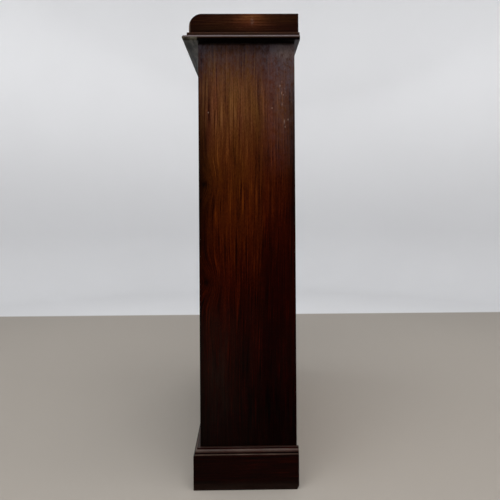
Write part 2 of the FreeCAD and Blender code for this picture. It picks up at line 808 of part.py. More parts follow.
def strike_parts():
    """The plate in the left door's edge that takes the lock bolt, and the cuts behind it."""
    _, bolt_y, bolt_z = lock_bolt_spans(lock_room)
    middle_z = (bolt_z[0] + bolt_z[1]) / 2
    plate = box((-door_inner - strike_thickness, -door_inner),
                (bit_middle_y - strike_width / 2, bit_middle_y + strike_width / 2),
                (middle_z - strike_height / 2, middle_z + strike_height / 2))
    depth = lock_bolt_throw + lock_room
    hole = box((-door_inner - depth, -door_inner + overcut), bolt_y, bolt_z)
    return less(plate, [hole]), [plate, hole]


# Shelves

def notch_heights():
    """The seats of the notches, from the cabinet floor up."""
    heights = []
    seat = floor_z + notch_first
    while seat + notch_rise < ceiling_z:
        heights.append(seat)
        seat += notch_pitch
    return heights


def shelf_seats():
    """The notch that carries each shelf, so that the compartments are nearly alike."""
    compartment = (ceiling_z - floor_z - shelf_count * shelf_thickness) / (shelf_count + 1)
    seats = []
    for index in range(shelf_count):
        underside = floor_z + (index + 1) * compartment + index * shelf_thickness
        wanted = underside - bearer_height
        seats.append(min(notch_heights(), key=lambda seat: abs(seat - wanted)))
    return seats


strip_front_y = door_back_y + strip_setback
front_teeth_y = strip_front_y + strip_width
back_teeth_y = board_front_y - strip_width


def shelf_strip(outer_y, teeth_y):
    """A notched strip on the left side; its teeth face the other strip of the pair."""
    toward = 1 if teeth_y > outer_y else -1
    outline = [(outer_y, floor_z), (teeth_y, floor_z)]
    for seat in notch_heights():
        outline += [(teeth_y, seat), (teeth_y - toward * notch_depth, seat),
                    (teeth_y, seat + notch_rise)]
    outline += [(teeth_y, ceiling_z), (outer_y, ceiling_z)]
    return prism(outline, seen_from_side(-inner_half), X * strip_thickness)


def bearer(seat):
    """A loose bearer on the left side, its ends shaped to the notches."""
    low_front = front_teeth_y - notch_depth + bearer_end_room
    low_back = back_teeth_y + notch_depth - bearer_end_room
    lean = notch_depth * bearer_height / notch_rise
    outline = [(low_front, seat), (low_back, seat), (low_back - lean, seat + bearer_height),
               (low_front + lean, seat + bearer_height)]
    return prism(outline, seen_from_side(-inner_half), X * strip_thickness)


def shelf(seat):
    """A shelf notched at its corners round the strips."""
    half = inner_half - shelf_room
    notched = inner_half - strip_thickness - shelf_room
    front = door_back_y + shelf_setback
    back = board_front_y - shelf_room
    front_notch = front_teeth_y + shelf_room
    back_notch = back_teeth_y - shelf_room
    outline = [(-notched, front, shelf_arris), (notched, front, shelf_arris),
               (notched, front_notch), (half, front_notch), (half, back_notch),
               (notched, back_notch), (notched, back), (-notched, back),
               (-notched, back_notch), (-half, back_notch), (-half, front_notch),
               (-notched, front_notch)]
    underside = seat + bearer_height
    board = prism(outline, seen_from_above(underside), Z * shelf_thickness)

    def runs_along_front(edge):
        return edge.BoundBox.YMax < front + touch and edge.BoundBox.XLength > half

    return eased(board, runs_along_front, shelf_arris)


def door_stops():
    """Two blocks behind the meeting stiles, under the sub-top and on the bottom."""
    half = stop_block_length / 2
    y_span = (door_back_y + stop_room, door_back_y + stop_room + stop_block)
    return Part.makeCompound([
        box((-half, half), y_span, (ceiling_z - stop_block, ceiling_z)),
        box((-half, half), y_span, (floor_z, floor_z + stop_block))])


# All pieces by name

pieces = {}

upper_slide = slide_parts(upward=True)
lower_slide = slide_parts(upward=False)

pieces["side_panel_left"] = side_panel()
pieces["side_panel_right"] = mirrored(side_panel())
pieces["carcase_bottom"] = carcase_board((plinth_height, floor_z), lower_slide["hole"])
pieces["carcase_sub_top"] = carcase_board((ceiling_z, carcase_height), upper_slide["hole"])
pieces["top_board"] = top_board()
pieces["gallery_side_left"] = gallery_side()
pieces["gallery_side_right"] = mirrored(gallery_side())
pieces["gallery_back"] = gallery_back()

plinth_front, plinth_left = plinth_boards()
pieces["plinth_front"] = plinth_front
pieces["plinth_side_left"] = plinth_left
pieces["plinth_side_right"] = mirrored(plinth_left)
pieces["plinth_back_rail"] = plinth_back_rail()
pieces["plinth_glue_blocks"] = plinth_glue_blocks()
moulding_front, moulding_left = base_mouldings()
pieces["base_moulding_front"] = moulding_front
pieces["base_moulding_left"] = moulding_left
pieces["base_moulding_right"] = mirrored(moulding_left)

for number, board in enumerate(back_board_set(), start=1):
    pieces["back_board_%d" % number] = board
pieces["back_board_screws"] = Part.makeCompound(back_screws(slotted=True))

strike_plate, strike_cuts = strike_parts()
for side in ("left", "right"):
    turned = mirrored if side == "right" else (lambda shape: shape)
    frame = {name: turned(shape) for name, shape in door_frame().items()}
    if side == "left":
        cuts = upper_slide["cuts"] + lower_slide["cuts"] + strike_cuts
    else:
        cuts = lock_cuts()
    frame["meeting_stile"] = less(frame["meeting_stile"], cuts)
    for name, shape in frame.items():
        pieces["door_%s_%s" % (side, name)] = shape
    pieces["door_%s_glass" % side] = turned(door_glass())
    pieces["door_%s_glazing_beads" % side] = turned(glazing_beads())
    leaves = [turned(hinge_leaf(z, of_carcase=False)) for z in hinge_heights]
    pieces["door_%s_hinge_leaves" % side] = Part.makeCompound(leaves)
    screws = [turned(screw) for z in hinge_heights for screw in hinge_screws(z, False, True)]
    pieces["door_%s_hinge_screws" % side] = Part.makeCompound(screws)

carcase_leaves = [hinge_leaf(z, of_carcase=True) for z in hinge_heights]
carcase_screws = [screw for z in hinge_heights for screw in hinge_screws(z, True, True)]
pins = [hinge_pin(z) for z in hinge_heights]
for name, left_set in (("carcase_hinge_leaves", carcase_leaves),
                       ("carcase_hinge_screws", carcase_screws), ("hinge_pins", pins)):
    pieces[name] = Part.makeCompound(left_set + [mirrored(shape) for shape in left_set])

pieces["slide_bolt_plates"] = Part.makeCompound([upper_slide["plate"], lower_slide["plate"]])
pieces["slide_bolt_top"] = upper_slide["bolt"]
pieces["slide_bolt_bottom"] = lower_slide["bolt"]
pieces["strike_plate"] = strike_plate
pieces["lock_case"] = lock_case()
pieces["lock_bolt"] = lock_bolt()
pieces["lock_key"] = lock_key()
pieces["escutcheon"] = escutcheon()
pieces["door_stops"] = door_stops()

pieces["shelf_strip_front_left"] = shelf_strip(strip_front_y, front_teeth_y)
pieces["shelf_strip_back_left"] = shelf_strip(board_front_y, back_teeth_y)
pieces["shelf_strip_front_right"] = mirrored(pieces["shelf_strip_front_left"])
pieces["shelf_strip_back_right"] = mirrored(pieces["shelf_strip_back_left"])
for number, seat in enumerate(shelf_seats(), start=1):
    pair = [bearer(seat), mirrored(bearer(seat))]
    pieces["shelf_bearers_%d" % number] = Part.makeCompound(pair)
    pieces["shelf_%d" % number] = shelf(seat)

os.makedirs("parts", exist_ok=True)
for name, shape in pieces.items():
    shape.exportStep("parts/%s.step" % name)
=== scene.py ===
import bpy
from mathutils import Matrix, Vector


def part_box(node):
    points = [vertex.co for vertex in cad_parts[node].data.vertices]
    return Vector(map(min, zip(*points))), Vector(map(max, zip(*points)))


bl_info = {
    "name": "Glazed display cabinet",
    "version": (1, 0, 0),
    "blender": (4, 5, 0),
    "location": "View3D > Sidebar > Cabinet",
    "description": "Finishes a low mahogany display cabinet and sets it in a plain studio",
    "category": "Object",
}

import math

import bmesh
import bpy
from bpy.props import FloatProperty, FloatVectorProperty, PointerProperty
from mathutils import Vector

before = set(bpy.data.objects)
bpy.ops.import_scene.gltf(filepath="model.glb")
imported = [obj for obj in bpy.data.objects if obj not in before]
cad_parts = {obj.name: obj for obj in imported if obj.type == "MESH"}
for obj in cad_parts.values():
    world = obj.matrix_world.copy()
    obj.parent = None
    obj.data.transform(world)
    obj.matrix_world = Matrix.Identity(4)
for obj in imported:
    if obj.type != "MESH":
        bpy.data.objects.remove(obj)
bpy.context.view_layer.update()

GRAIN_UP, GRAIN_ACROSS, GRAIN_DEEP = "Z", "X", "Y"

# Every board, by the direction its grain runs.
SIDE_PANELS = ("side_panel_left", "side_panel_right")
DOOR_STILES = (
    "door_left_hinge_stile", "door_left_meeting_stile",
    "door_right_hinge_stile", "door_right_meeting_stile",
)
DOOR_RAILS = (
    "door_left_top_rail", "door_left_bottom_rail",
    "door_right_top_rail", "door_right_bottom_rail",
    "door_left_glazing_beads", "door_right_glazing_beads",
)
SHELF_STRIPS = (
    "shelf_strip_front_left", "shelf_strip_back_left",
    "shelf_strip_front_right", "shelf_strip_back_right",
)
INNER_BOARDS = ("carcase_bottom", "carcase_sub_top", "door_stops", "shelf_1", "shelf_2", "shelf_3")
SHELF_BEARERS = ("shelf_bearers_1", "shelf_bearers_2", "shelf_bearers_3")
PLINTH_SIDES = ("plinth_side_left", "plinth_side_right")
MOULDING_SIDES = ("base_moulding_left", "base_moulding_right")
GALLERY_SIDES = ("gallery_side_left", "gallery_side_right")
BACK_BOARDS = ("back_board_1", "back_board_2", "back_board_3", "back_board_4", "back_board_5")
HIDDEN_SOFTWOOD = ("plinth_back_rail", "plinth_glue_blocks")
PANES = ("door_left_glass", "door_right_glass")
BRASSWORK = (
    "carcase_hinge_leaves", "carcase_hinge_screws", "hinge_pins",
    "door_left_hinge_leaves", "door_left_hinge_screws",
    "door_right_hinge_leaves", "door_right_hinge_screws",
    "slide_bolt_plates", "slide_bolt_top", "slide_bolt_bottom",
    "strike_plate", "lock_case", "lock_bolt", "escutcheon",
)
STEELWORK = ("back_board_screws", "lock_key")

# How glossy plain boards are left, and how many layers of darkening, partly old polish and partly painted
# shade, they have against the sides.
DOOR_GLOSS, INNER_GLOSS, GALLERY_BACK_GLOSS = 0.30, 0.10, 0.15
FRONT_DARKENING, INNER_DARKENING = 0.8, 0.5

# Figure of the mahogany: lines to a metre across the grain, and changes to a metre along it.
RIBBONS, VEINS, HAIRS, HUES = (42.0, 1.0), (190.0, 2.8), (520.0, 8.0), (34.0, 4.0)
# What each part of the figure adds to the tone, and what is then taken off.
RIBBON_SHARE, VEIN_SHARE, DASH_SHARE, FLECK_SHARE, CLOUD_SHARE = 0.15, 0.34, 0.86, 0.54, 0.18
TONE_LOSS = 0.105
MIDDLE_TONE = 0.5
# How far the lines stray over a long and over a short way, and how much stronger each layer makes them.
WANDER, RIPPLE = 0.030, 0.005
LAYER_CONTRAST, LEAST_CONTRAST = 1.1, 0.2
# How far the figure is shifted across, in depth and along, times each board's own random number.
BOARD_SHIFT = (5.31, 3.17, 11.9)
WOOD_IOR = 1.5

PANE_IOR = 1.36
PANE_TINT, PANE_SHADOW_TINT = (0.95, 0.98, 0.96), (0.93, 0.95, 0.94)

# Each lamp: its power setting, size, place and the point that it faces.
LAMPS = {
    "key_lamp": ("key", (2.2, 2.0), (1.40, -0.05, 2.55), (0.1, 0.0, 0.7)),
    "front_lamp": ("fill", (2.2, 1.2), (-0.6, -2.3, 2.3), (0.0, 0.0, 0.6)),
    "back_lamp": ("fill", (2.2, 1.2), (0.3, 2.3, 2.3), (0.0, 0.0, 0.6)),
    "left_lamp": ("fill", (1.6, 1.2), (-2.1, 0.3, 2.4), (0.0, 0.0, 0.6)),
}
SENSOR_WIDTH = 36.0


def colour(name, description, default):
    return FloatVectorProperty(
        name=name, description=description, default=default, subtype="COLOR", size=3, min=0, max=1)


def factor(name, description, default):
    return FloatProperty(name=name, description=description, default=default, subtype="FACTOR", min=0, max=1)


def distance(name, description, default):
    return FloatProperty(
        name=name, description=description, default=default, subtype="DISTANCE", unit="LENGTH")


def watts(name, description, default):
    return FloatProperty(name=name, description=description, default=default, unit="POWER", min=0)


def angle(name, description, degrees):
    return FloatProperty(
        name=name, description=description, default=math.radians(degrees), subtype="ANGLE")


class MahoganySettings(bpy.types.PropertyGroup):
    dark_vein: colour("Dark vein", "The darkest lines of the figure", (0.0240, 0.0062, 0.0022))
    heartwood: colour("Heartwood", "The main colour of the wood", (0.083, 0.0260, 0.0085))
    light_vein: colour("Light vein", "The lightest lines of the figure", (0.150, 0.0560, 0.0195))
    # Each layer darkens the wood further down: partly old polish, partly painted shade.
    polish_and_shade_layer: colour("Old polish", "What one layer of the old polish lets through", (0.315, 0.124, 0.022))
    undarkened_height: distance("Clean height", "Below it the old polish makes the wood ever darker", 0.962)
    darkening_layer_height: distance("Layer height", "How far down each further layer of the old polish takes", 0.330)
    most_darkening_layers: FloatProperty(
        name="Most layers", description="Of old polish, near the floor", default=2.60, min=0)
    # Dirt and painted shade in the corners.
    dirt_and_shade: colour("Grime", "Dirt in the corners", (0.003, 0.001, 0.0005))
    # Colour of the painted sheen, highlight and reflection on the polish.
    painted_sheen: colour("Bloom", "Haze in the polish", (0.075, 0.062, 0.074))
    # Also the colour of a painted reflection under the top board's front overhang.
    dust: colour("Dust", "Brown film on the lowest parts", (0.090, 0.080, 0.058))
    # Also the colour of painted highlights and sheen.
    bare_wood_and_highlight: colour("Bare edge", "Wood where the polish has worn through", (0.20, 0.135, 0.102))
    wear: factor("Wear", "How far the arrises are rubbed", 0.45)
    gloss_roughness: factor("Gloss roughness", "Roughness of the clean polish", 0.24)


class SoftwoodSettings(bpy.types.PropertyGroup):
    summer: colour("Early wood", "The pale rings of the softwood", (0.27, 0.150, 0.070))
    winter: colour("Late wood", "The dark rings of the softwood", (0.120, 0.055, 0.022))
    # Dirt and painted shade in the corners, and dirt in the joints.
    dirt_and_shade: colour("Grime", "Dirt in the corners and joints", (0.03, 0.016, 0.008))


class MetalSettings(bpy.types.PropertyGroup):
    brass: colour("Brass", "Rubbed brass", (0.60, 0.40, 0.15))
    tarnish: colour("Tarnish", "Brass in the hollows", (0.13, 0.075, 0.030))
    steel: colour("Steel", "Clean steel", (0.42, 0.41, 0.39))
    rust: colour("Rust", "Rust in patches on the steel", (0.10, 0.045, 0.022))


class StageSettings(bpy.types.PropertyGroup):
    floor: colour("Floor", "Colour of the floor", (0.372, 0.338, 0.298))
    wall: colour("Wall", "Colour of the wall", (0.74, 0.745, 0.76))
    smudge: colour("Smudge", "Colour of the faint patches on both", (0.3, 0.3, 0.3))
    glow: factor("Wall glow", "How much paler the wall is seen than the lamps make it", 0.30)
    room: distance("Room radius", "From the middle of the room to the wall", 2.9)
    key: watts("Key lamp", "Power of the large lamp at the right", 56)
    fill: watts("Fill lamps", "Power of each of the other lamps", 16)
    sky: factor("Sky", "Strength of the light from all round", 0.08)
    sky_colour: colour("Sky colour", "Colour of the light from all round", (0.93, 0.96, 1.0))


class CameraSettings(bpy.types.PropertyGroup):
    focal_length: FloatProperty(
        name="Focal length", description="For a sensor 36 mm wide", default=43.23, unit="CAMERA")
    distance_out: distance("Distance", "From the middle of the cabinet", 1.980)
    sideways: distance("Sideways", "Towards the back of the cabinet", 0.0125)
    height: distance("Height", "Above the floor", 0.720)
    turn: angle("Turn", "Towards the back of the cabinet", 0.91)
    roll: angle("Roll", "Tilt of the picture", 0.352)
    shift_x: FloatProperty(name="Shift X", description="Sideways shift of the lens", default=-0.0133)
    shift_y: FloatProperty(name="Shift Y", description="Upward shift of the lens", default=-0.110)


class Shading:
    """Adds nodes to one node tree and joins them, each call giving back a socket."""

    def __init__(self, tree):
        self.tree = tree

    def node(self, kind, inputs=None, **settings):
        made = self.tree.nodes.new(kind)
        for name, value in settings.items():
            setattr(made, name, value)
        for name, value in (inputs or {}).items():
            if isinstance(value, bpy.types.NodeSocket):
                self.tree.links.new(value, made.inputs[name])
            else:
                made.inputs[name].default_value = value
        return made

    def maths(self, operation, a, b=0.0, c=0.0, clamp=False):
        return self.node(
            "ShaderNodeMath", {0: a, 1: b, 2: c}, operation=operation, use_clamp=clamp).outputs[0]

    def product(self, first, *others):
        for other in others:
            first = self.maths("MULTIPLY", first, other)
        return first

    def total(self, first, *others):
        for other in others:
            first = self.maths("ADD", first, other)
        return first

    def largest(self, first, *others):
        for other in others:
            first = self.maths("MAXIMUM", first, other)
        return first

    def rest(self, value):
        """What is left of 1."""
        return self.maths("SUBTRACT", 1.0, value)

    def changed(self, amount, change):
        """1 where the amount is 0, and 1 plus the change where it is 1."""
        return self.maths("MULTIPLY_ADD", amount, change, 1.0)

    def remap(self, value, low, high, to_low=0.0, to_high=1.0, smooth=False):
        return self.node("ShaderNodeMapRange", {
            "Value": value, "From Min": low, "From Max": high, "To Min": to_low, "To Max": to_high,
        }, interpolation_type="SMOOTHSTEP" if smooth else "LINEAR").outputs["Result"]

    def noise(self, vector, changes, detail=2.0, roughness=0.5):
        """Noise with so many changes to a metre, the same or different along each axis."""
        if not isinstance(changes, tuple):
            changes = (changes, changes, changes)
        return self.node("ShaderNodeTexNoise", {
            "Vector": self.stretch(vector, *changes), "Scale": 1.0, "Detail": detail, "Roughness": roughness,
        }).outputs["Fac"]

    def line_noise(self, along, scale, detail, roughness):
        return self.node("ShaderNodeTexNoise", {
            "W": along, "Scale": scale, "Detail": detail, "Roughness": roughness,
        }, noise_dimensions="1D").outputs["Fac"]

    def streaks(self, across, along, changes, detail=1.0, roughness=0.5):
        """Lines along the grain, with so many changes to a metre across it and along it."""
        place = self.stretch(self.join(across, along, 0.0), *changes, 1.0)
        return self.node("ShaderNodeTexNoise", {
            "Vector": place, "Scale": 1.0, "Detail": detail, "Roughness": roughness,
        }, noise_dimensions="2D").outputs["Fac"]

    def mix(self, amount, a, b, blend="MIX"):
        made = self.node("ShaderNodeMix", {0: amount}, data_type="RGBA", blend_type=blend)
        for socket, value in ((made.inputs[6], a), (made.inputs[7], b)):
            if isinstance(value, bpy.types.NodeSocket):
                self.tree.links.new(value, socket)
            else:
                socket.default_value = (*value, 1.0)
        return made.outputs[2]

    def ramp(self, value, stops):
        made = self.node("ShaderNodeValToRGB", {"Fac": value})
        marks = made.color_ramp.elements
        marks[0].position, marks[0].color = stops[0][0], (*stops[0][1], 1.0)
        marks[1].position, marks[1].color = stops[-1][0], (*stops[-1][1], 1.0)
        for place, tone in stops[1:-1]:
            mark = marks.new(place)
            mark.color = (*tone, 1.0)
        return made.outputs["Color"]

    def split(self, vector):
        """The three parts of a place, a direction or a colour."""
        return self.node("ShaderNodeSeparateXYZ", {0: vector}).outputs[0:3]

    def join(self, x, y, z):
        return self.node("ShaderNodeCombineXYZ", {0: x, 1: y, 2: z}).outputs[0]

    def stretch(self, vector, x, y, z):
        return self.node(
            "ShaderNodeVectorMath", {0: vector, 1: (x, y, z)}, operation="MULTIPLY").outputs[0]

    def place(self):
        return self.node("ShaderNodeTexCoord").outputs["Object"]

    def bump(self, height, strength, depth, under=None):
        inputs = {"Height": height, "Strength": strength, "Distance": depth}
        if under is not None:
            inputs["Normal"] = under
        return self.node("ShaderNodeBump", inputs).outputs["Normal"]

    def normal(self):
        """Which way the surface faces, in the piece's own frame."""
        return self.split(self.node("ShaderNodeTexCoord").outputs["Normal"])

    def arris(self, radius):
        """1 on an outer or inner edge, 0 on the flat."""
        rounded = self.node("ShaderNodeBevel", {"Radius": radius}, samples=4).outputs["Normal"]
        flat = self.node("ShaderNodeNewGeometry").outputs["Normal"]
        same = self.node("ShaderNodeVectorMath", {0: rounded, 1: flat}, operation="DOT_PRODUCT")
        return self.remap(same.outputs["Value"], 0.995, 0.80)

    def crevice(self, depth):
        """1 in a corner, 0 in the open."""
        open_sky = self.node("ShaderNodeAmbientOcclusion", {"Distance": depth}, samples=4).outputs["AO"]
        return self.maths("SUBTRACT", 1.0, open_sky, clamp=True)

    def finish(self, inputs):
        """Joins a Principled shader to the output."""
        shader = self.node("ShaderNodeBsdfPrincipled", inputs)
        self.node("ShaderNodeOutputMaterial", {"Surface": shader.outputs[0]})


def new_material(name):
    material = bpy.data.materials.new(name)
    material.use_nodes = True
    material.node_tree.nodes.clear()
    return material, Shading(material.node_tree)


def coat_nodes(names, material):
    """Gives CAD nodes their finish."""
    for name in names:
        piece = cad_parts[name]
        if not piece.material_slots:
            piece.data.materials.append(material)
        for slot in piece.material_slots:
            slot.material = material


def board_space(sh, grain):
    """Places on a board, turned so that the last runs along the grain, and shifted for each board."""
    x, y, z = sh.split(sh.place())
    turned = {GRAIN_ACROSS: (y, z, x), GRAIN_DEEP: (x, z, y), GRAIN_UP: (x, y, z)}[grain]
    shift = sh.node("ShaderNodeObjectInfo").outputs["Random"]
    return [sh.maths("MULTIPLY_ADD", shift, far, place) for far, place in zip(BOARD_SHIFT, turned)]


def spot(sh, y, z, middle, reach):
    """1 at one place on a side, fading to 0 over its reach towards the back and upwards."""
    off_y = sh.maths("DIVIDE", sh.maths("SUBTRACT", y, middle[0]), reach[0])
    off_z = sh.maths("DIVIDE", sh.maths("SUBTRACT", z, middle[1]), reach[1])
    square = sh.maths("MULTIPLY_ADD", off_y, off_y, sh.product(off_z, off_z))
    return sh.maths("EXPONENT", sh.product(square, -1.0))


def band(sh, z, middle, reach):
    """1 at one height, fading to 0 over its reach."""
    off = sh.maths("DIVIDE", sh.maths("SUBTRACT", z, middle), reach)
    return sh.maths("EXPONENT", sh.product(sh.product(off, off), -1.0))


def slanting_gloss(sh, most):
    """Gloss that shows only where a face is seen at a slant."""
    aslant = sh.node("ShaderNodeLayerWeight", {"Blend": 0.5}).outputs["Facing"]
    return sh.remap(aslant, 0.08, 0.45, 0.0, most)


class Wear:
    """What sets one board apart. Each is a number, or a socket that changes from place to place."""

    gloss = 0.0     # how much of the clear polish is left
    bend = 0.0      # how far aside the lines of the figure run, in metres
    shade = 1.0     # how light the wood is, with painted shade and shadow on some boards
    redden = 0.0    # how much less green and blue it has
    painted_sheen = 0.0     # painted sheen, highlight and reflection on the polish
    dust = 0.0      # brown film; under the top board's front overhang also a painted reflection
    mark = 0.0      # wood laid bare, and painted highlight and sheen in its colour
    dirt_and_shade = 0.75    # dirt and painted shade in the corners
    rubbing = 1.0   # how far the arrises are rubbed, against other boards

    def __init__(self, **differences):
        vars(self).update(differences)


# The sides, in metres: x from the middle, y towards the back, z up. A pair is where a change starts and
# where it is full. A spot is its middle and its reach.
SIDE_FACE_X = (0.4975, 0.4979)
LINE_STRAY = 0.016
KNOTS = ((-0.094, 0.747), (-0.089, 0.505))
KNOT_REACH, KNOT_BEND_REACH, KNOT_BEND = (0.0085, 0.008), (0.030, 0.042), 0.015
FRONT_DARK_Y, FRONT_DARK_LOW_Z, FRONT_DARK_HIGH_Z = (-0.064, -0.103), (0.44, 0.60), (0.84, 0.98)
FRONT_EDGE_Y = (-0.090, -0.106)
REAR_HALF_Y = (0.0, 0.06)
SECOND_BOARD_Y, SECOND_BOARD_RED_Z = (0.046, 0.058), (0.84, 0.64)
SECOND_BOARD_DARK_Z, SECOND_BOARD_LOW_Z = (0.84, 0.56), (0.24, 0.42)
REAR_EDGE_Y, REAR_EDGE_LOW_Z, REAR_EDGE_HIGH_Z = (0.100, 0.130), (0.50, 0.68), (0.97, 1.03)
# The first two spans are painted shadow under the top board: below its overhang, and right under it.
OVERHANG_Z, TOP_SHADOW_Z, FOOT_Z = (0.98, 1.060), (1.086, 1.0945), (0.22, 0.45)
DARK_SPOT = ((0.0174, 0.878), (0.018, 0.055))
LIGHT_BAND = (0.630, 0.080)
# Where the painted sheen on the sides starts and is full, and its two spots.
SHEEN_LOW_Z, SHEEN_HIGH_Z = (0.930, 1.000), (1.005, 1.080)
SHEEN_BEHIND_Y, SHEEN_BEHIND_LOW_Z, SHEEN_BEHIND_HIGH_Z = (0.030, 0.095), (0.76, 0.90), (0.925, 1.0)
SHEEN_BEHIND_SPOT, SHEEN_FRONT_SPOT = ((0.105, 1.088), (0.045, 0.018)), ((-0.100, 1.088), (0.028, 0.016))
FILM_Y, FILM_Z = (0.02, 0.06), (0.52, 0.34)
FILM_SPOT = ((-0.070, 0.27), (0.045, 0.15))
WARM_SHEEN_SPOT = ((0.112, 1.076), (0.034, 0.020))
SPECKS_TO_A_METRE = 120.0
SPECK_Y, SPECK_Z = (0.045, 0.105), (0.87, 1.03)
SIDE_MARKS = (
    ((-0.0820, 0.9240), (0.0012, 0.0015)),
    ((0.0755, 0.9346), (0.0013, 0.0015)),
    ((0.0955, 0.9895), (0.0013, 0.0020)),
    ((0.0990, 0.9715), (0.0010, 0.0032)),
    ((0.1033, 0.9670), (0.0011, 0.0013)),
    ((0.1002, 0.9438), (0.0007, 0.0032)),
    ((0.1054, 0.9015), (0.0009, 0.0050)),
    ((0.1148, 0.9060), (0.0009, 0.0022)),
    ((0.1074, 0.8880), (0.0008, 0.0018)),
)


def side_shade(sh, y, z, second_board, top_shadow):
    """Dark along the front edge, at the knots and behind, and painted shadow under the top."""
    front = sh.product(
        sh.remap(y, *FRONT_DARK_Y), sh.remap(z, *FRONT_DARK_HIGH_Z, 0.82, 0.50),
        sh.remap(z, *FRONT_DARK_LOW_Z))
    front = sh.largest(front, sh.remap(y, *FRONT_EDGE_Y, 0.0, 0.62))
    behind = sh.product(second_board, sh.product(
        sh.remap(z, *SECOND_BOARD_DARK_Z, 0.10, 0.42, smooth=True),
        sh.remap(z, *SECOND_BOARD_LOW_Z, smooth=True)))
    rear_edge = sh.product(
        sh.remap(y, *REAR_EDGE_Y, 0.0, 0.82), sh.remap(z, *REAR_EDGE_LOW_Z),
        sh.remap(z, *REAR_EDGE_HIGH_Z, 1.0, 0.25))
    # Painted shadow below the top board's overhang.
    overhang_shadow = sh.remap(z, *OVERHANG_Z, 1.0, 0.70, smooth=True)
    knots = 0.0
    for middle in KNOTS:
        knots = sh.largest(knots, spot(sh, y, z, middle, KNOT_REACH))
    return sh.product(
        sh.rest(front), sh.remap(y, *REAR_HALF_Y, 1.0, 0.86), sh.rest(behind),
        sh.product(sh.rest(rear_edge), overhang_shadow), sh.changed(knots, -0.80),
        sh.remap(z, *FOOT_Z, 0.84, 1.0), sh.changed(spot(sh, y, z, *DARK_SPOT), -0.15),
        sh.changed(band(sh, z, *LIGHT_BAND), 0.20), top_shadow)


def side_sheen(sh, y, z, mottle, top_shadow):
    """Painted sheen on the polish, mottled, high up and behind."""
    under_top = sh.total(sh.remap(z, *SHEEN_LOW_Z, 0.0, 0.05), sh.remap(z, *SHEEN_HIGH_Z, 0.0, 0.22))
    behind = sh.total(
        sh.remap(z, *SHEEN_BEHIND_LOW_Z, 0.0, 0.115), sh.remap(z, *SHEEN_BEHIND_HIGH_Z, 0.0, 0.13))
    behind = sh.product(behind, sh.remap(y, *SHEEN_BEHIND_Y, smooth=True))
    corners = sh.product(spot(sh, y, z, *SHEEN_BEHIND_SPOT), 0.50)
    corners = sh.maths("MULTIPLY_ADD", spot(sh, y, z, *SHEEN_FRONT_SPOT), 0.40, corners)
    painted_sheen = sh.total(under_top, behind, corners)
    return sh.product(painted_sheen, sh.remap(mottle, 0.28, 0.72, 0.10, 1.90), top_shadow)


def side_dust(sh, y, z):
    """A brown film low on the sides, wiped along the grain."""
    film = sh.product(sh.remap(z, *FILM_Z, 0.0, 0.012, smooth=True), sh.remap(y, *FILM_Y, 1.0, 0.45))
    dust = sh.maths("MULTIPLY_ADD", spot(sh, y, z, *FILM_SPOT), 0.030, film)
    wiped = sh.noise(sh.place(), (1.0, 240.0, 16.0), 3.0, 0.6)
    return sh.product(dust, sh.remap(wiped, 0.32, 0.68, 0.35, 1.75))


def side_marks(sh, flat, y, z, mottle, top_shadow):
    """Small knocks on the right side, and specks and a warm painted sheen behind on both."""
    x, flat_y = flat
    knocks = 0.0
    for middle, reach in SIDE_MARKS:
        knocks = sh.largest(knocks, spot(sh, flat_y, z, middle, reach))
    knocks = sh.product(knocks, sh.remap(x, *SIDE_FACE_X))

    dots = sh.node("ShaderNodeTexVoronoi", {
        "Vector": sh.join(flat_y, z, 0.0), "Scale": SPECKS_TO_A_METRE,
    }, voronoi_dimensions="2D").outputs
    specks = sh.product(sh.remap(dots["Distance"], 0.17, 0.05), sh.remap(dots["Color"], 0.45, 0.95))
    sprayed = sh.product(
        sh.remap(flat_y, *SPECK_Y, smooth=True), sh.remap(z, *SPECK_Z, 0.0, 0.55, smooth=True),
        sh.remap(sh.maths("ABSOLUTE", x), *SIDE_FACE_X))
    specks = sh.product(specks, sprayed)

    # A warm painted sheen in bare-wood colour, high up behind.
    warm_sheen = sh.product(
        spot(sh, y, z, *WARM_SHEEN_SPOT), sh.remap(mottle, 0.30, 0.70, 0.12, 0.62), top_shadow)
    return sh.largest(knocks, specks, warm_sheen)


def side_wear(sh):
    """The sides: knots by the front edge, a redder board behind, painted shadow and sheen under the top,
    dust below.
    """
    x, flat_y, z = sh.split(sh.place())
    stray = sh.noise(sh.place(), (1.0, 9.0, 2.2))
    y = sh.maths("MULTIPLY_ADD", stray, LINE_STRAY, sh.maths("SUBTRACT", flat_y, LINE_STRAY / 2))
    second_board = sh.remap(y, *SECOND_BOARD_Y, smooth=True)
    top_shadow = sh.remap(z, *TOP_SHADOW_Z, 1.0, 0.05, smooth=True)
    mottle = sh.noise(sh.place(), (1.0, 150.0, 95.0), 3.0, 0.65)
    bend = 0.0
    for middle in KNOTS:
        bend = sh.maths("MULTIPLY_ADD", spot(sh, y, z, middle, KNOT_BEND_REACH), KNOT_BEND, bend)
    return Wear(
        gloss=slanting_gloss(sh, 0.35),
        bend=bend,
        shade=side_shade(sh, y, z, second_board, top_shadow),
        redden=sh.product(second_board, sh.remap(z, *SECOND_BOARD_RED_Z, 0.12, 0.35)),
        painted_sheen=side_sheen(sh, y, z, mottle, top_shadow),
        dust=side_dust(sh, y, z),
        mark=side_marks(sh, (x, flat_y), y, z, mottle, top_shadow),
        dirt_and_shade=0.50)


# The top board, in metres: its ends, overhangs and nose, and the fillet that stands on the nose.
TOP_END_X = (0.44, 0.51)
FRONT_OVERHANG_Y, NOSE_Y, REAR_OVERHANG_Y = (-0.1050, -0.1075), (-0.121, -0.130), (0.1310, 0.1325)
NOSE_SIDE_Z, NOSE_CROWN_Z = (1.1078, 1.1062), (1.1084, 1.1078)
FILLET_Z, FILLET_ARRIS_Z = (1.1080, 1.1090), (1.1125, 1.1145)
# How far a face looks up (1) or down (-1) where it counts as the underside.
UNDERSIDE_UP = (-0.70, -0.95)


